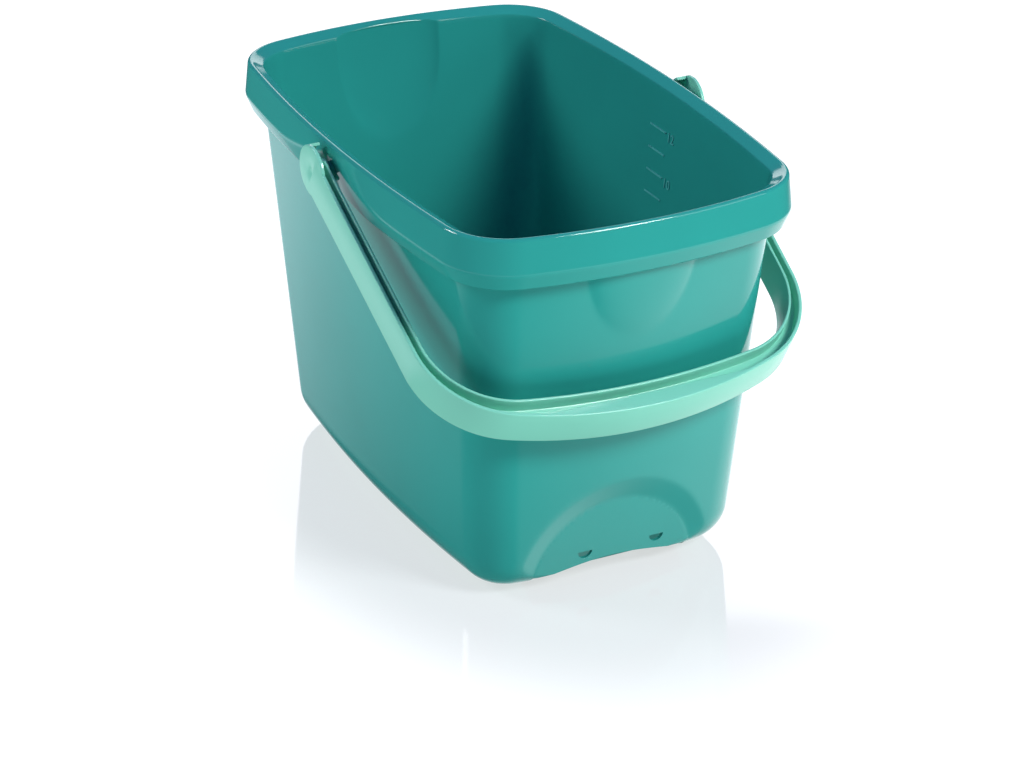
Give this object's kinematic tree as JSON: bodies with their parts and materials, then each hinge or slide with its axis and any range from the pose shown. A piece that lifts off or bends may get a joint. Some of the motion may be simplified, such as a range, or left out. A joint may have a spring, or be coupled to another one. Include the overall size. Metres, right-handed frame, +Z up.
{
  "type": "mop bucket",
  "caption": "Rectangular tapering mop bucket with a turned-down rim, pour troughs at both ends, a finger recess at the foot and a swinging bail handle.",
  "frame": {"origin": "middle of the flat underside", "axes": "+Z up, Y along the bucket's long side, -Y towards the end where the handle hangs and the finger recess is"},
  "size_m": [0.2562, 0.3726, 0.2469],
  "materials": {
    "bucket_plastic": "smooth gloss",
    "handle_plastic": "smooth satin gloss"
  },
  "bodies": {
    "bucket": {"bucket": "bucket_plastic"},
    "handle": {"bail_handle": "handle_plastic"}
  },
  "joints": [
    {"name": "bail_swing", "type": "hinge", "parent": "bucket", "child": "handle", "pos_m": [0, 0, 0.2309], "axis": [-1, 0, 0], "range_deg": [0, 238.7]}
  ]
}
